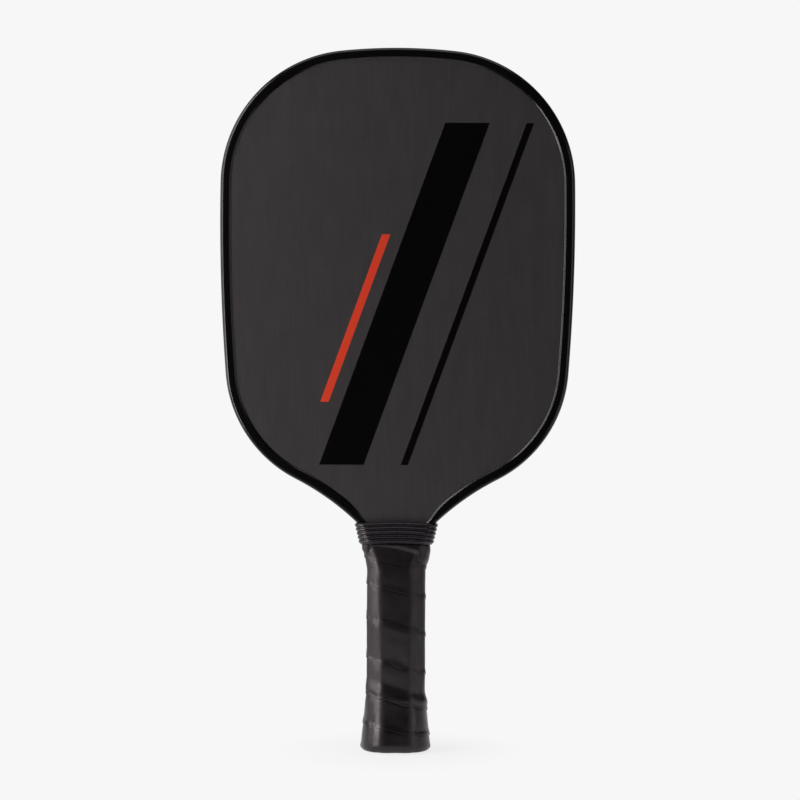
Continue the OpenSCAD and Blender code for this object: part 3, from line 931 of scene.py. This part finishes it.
dressed = {
    "front_face_sheet": face_composite, "rear_face_sheet": face_composite,
    "honeycomb_core": core_polymer, "front_scrim": scrim_fleece, "rear_scrim": scrim_fleece,
    "front_handle_pallet": pallet_foam, "rear_handle_pallet": pallet_foam,
    "finishing_tape": finish_film,
}
for node, mat in dressed.items():
    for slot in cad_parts[node].material_slots:
        slot.material = mat

# Floor, light and camera, in metres

PALE = (0.930, 0.930, 0.930)
DIM = (0.02, 0.02, 0.02)
# The floor ends a little in front of the object. Its glow grows to full from near the butt to that edge.
FLOOR_FRONT = 0.075
FLOOR_REACH = 6.0
FLOOR_DROP = 0.0002
GLOW_FROM = 0.02
GLOW_NEAR = 0.86
# How far a direction points back where the pale background starts, and where it is full
BEHIND_FROM = 0.3
BEHIND_FULL = 0.9
WARM = (1.0, 0.98, 0.985)
LAMP_AIM = (0.0, 0.0, 0.2)
# Upright lamps round the handle: degrees from the front to the right, distance, height, width, length, watts
RING_LAMPS = {
    "left_front": (-57, 0.65, 0.48, 0.09, 0.8, 1.69),
    "left": (-63, 0.65, 0.48, 0.09, 0.8, 1.57),
    "left_side": (-90, 0.65, 0.42, 0.15, 0.8, 1.86),
    "left_low": (-63, 0.65, 0.065, 0.09, 0.31, 1.35),
    "right_front": (42, 1.2, 0.20, 0.3, 1.0, 0.57),
    "right": (60, 1.2, 0.20, 0.3, 1.0, 1.58),
    "right_side": (75, 1.0, 0.20, 0.9, 1.0, 0.32),
}
# The camera: width of a pixel at the object in millimetres, picture and sensor width, place and roll
PIXEL_MM = 0.5755
PICTURE_PX = 800
SENSOR_MM = 36.0
CAMERA_DISTANCE = 1.2
CAMERA_X = 1.75 * MM
CAMERA_Z = 201.2 * MM
CAMERA_ROLL = math.radians(-0.25)


def seen(tree):
    """1 for rays that look at the background, straight or in a mirror or through glass."""
    path = add(tree, "ShaderNodeLightPath")
    looks = math_node(tree, "MAXIMUM", path.outputs["Is Camera Ray"], path.outputs["Is Glossy Ray"])
    return math_node(tree, "MAXIMUM", looks, path.outputs["Is Transmission Ray"])


def floor_material():
    """Pale paper. Where it is looked at it glows evenly, but for the object's shadow near the butt."""
    mat = bpy.data.materials.new("studio_floor")
    mat.use_nodes = True
    tree = mat.node_tree
    tree.nodes.remove(tree.nodes["Principled BSDF"])
    paper = add(tree, "ShaderNodeBsdfDiffuse", {"Color": (*PALE, 1.0)}).outputs[0]
    glow = add(tree, "ShaderNodeEmission", {"Color": (*PALE, 1.0), "Strength": 1.0}).outputs[0]
    reach = add(tree, "ShaderNodeVectorMath", {0: object_place(tree)}, operation="LENGTH").outputs["Value"]
    far = ramp(tree, reach, GLOW_FROM, FLOOR_FRONT, GLOW_NEAR, 1.0)
    share = math_node(tree, "MULTIPLY", far, seen(tree))
    both = add(tree, "ShaderNodeMixShader", {0: share, 1: paper, 2: glow}).outputs[0]
    tree.links.new(both, tree.nodes["Material Output"].inputs["Surface"])
    return mat


def make_floor():
    mat = floor_material()
    mesh = bpy.data.meshes.new("studio_floor")
    side, front = FLOOR_REACH, -FLOOR_FRONT
    points = [(-side, front, 0), (side, front, 0), (side, side, 0), (-side, side, 0)]
    mesh.from_pydata(points, [], [(0, 1, 2, 3)])
    mesh.materials.append(mat)
    floor = bpy.data.objects.new("studio_floor", mesh)
    floor.location.z = -FLOOR_DROP
    bpy.context.scene.collection.objects.link(floor)


def make_world():
    """Pale where it is looked at and behind the object, dim in front of it."""
    world = bpy.data.worlds.new("studio")
    bpy.context.scene.world = world
    world.use_nodes = True
    tree = world.node_tree
    tree.nodes.remove(tree.nodes["Background"])
    path = add(tree, "ShaderNodeLightPath")
    direct = math_node(tree, "MAXIMUM", path.outputs["Is Camera Ray"], path.outputs["Is Transmission Ray"])
    way = add(tree, "ShaderNodeSeparateXYZ", {0: add(tree, "ShaderNodeTexCoord").outputs["Generated"]})
    behind = ramp(tree, way.outputs[1], BEHIND_FROM, BEHIND_FULL, 0.0, 1.0)
    colour = blend(tree, math_node(tree, "MAXIMUM", direct, behind), DIM, PALE)
    back = add(tree, "ShaderNodeBackground", {"Color": colour, "Strength": 1.0}).outputs[0]
    tree.links.new(back, tree.nodes["World Output"].inputs["Surface"])


def make_lamp(name, place, aim, width, length, watts):
    lamp = bpy.data.lights.new(name, "AREA")
    lamp.shape = "RECTANGLE"
    lamp.size, lamp.size_y = width, length
    lamp.energy = watts
    lamp.color = WARM
    obj = bpy.data.objects.new(name, lamp)
    obj.location = place
    obj.rotation_euler = (Vector(aim) - Vector(place)).to_track_quat("-Z", "Y").to_euler()
    obj.visible_camera = False
    bpy.context.scene.collection.objects.link(obj)


def make_lamps():
    for name, (degrees, distance, z, width, length, watts) in RING_LAMPS.items():
        a = math.radians(degrees)
        make_lamp(name, (distance * math.sin(a), -distance * math.cos(a), z), LAMP_AIM, width, length, watts)
    make_lamp("low_front", (0.0, -0.28, -0.13), (0.0, 0.0, 0.06), 0.35, 0.18, 0.31)
    make_lamp("top", (0.0, -0.12, 1.10), (0.0, 0.0, 0.3), 0.9, 0.45, 2.22)


def make_camera():
    data = bpy.data.cameras.new("camera")
    data.sensor_width = SENSOR_MM
    data.lens = SENSOR_MM * CAMERA_DISTANCE / (PICTURE_PX * PIXEL_MM * MM)
    cam = bpy.data.objects.new("camera", data)
    cam.location = (CAMERA_X, -CAMERA_DISTANCE, CAMERA_Z)
    cam.rotation_euler = (math.radians(90.0), CAMERA_ROLL, 0.0)
    bpy.context.scene.collection.objects.link(cam)
    bpy.context.scene.camera = cam


make_floor()
make_world()
make_lamps()
make_camera()

bpy.context.scene.view_settings.view_transform = "Standard"
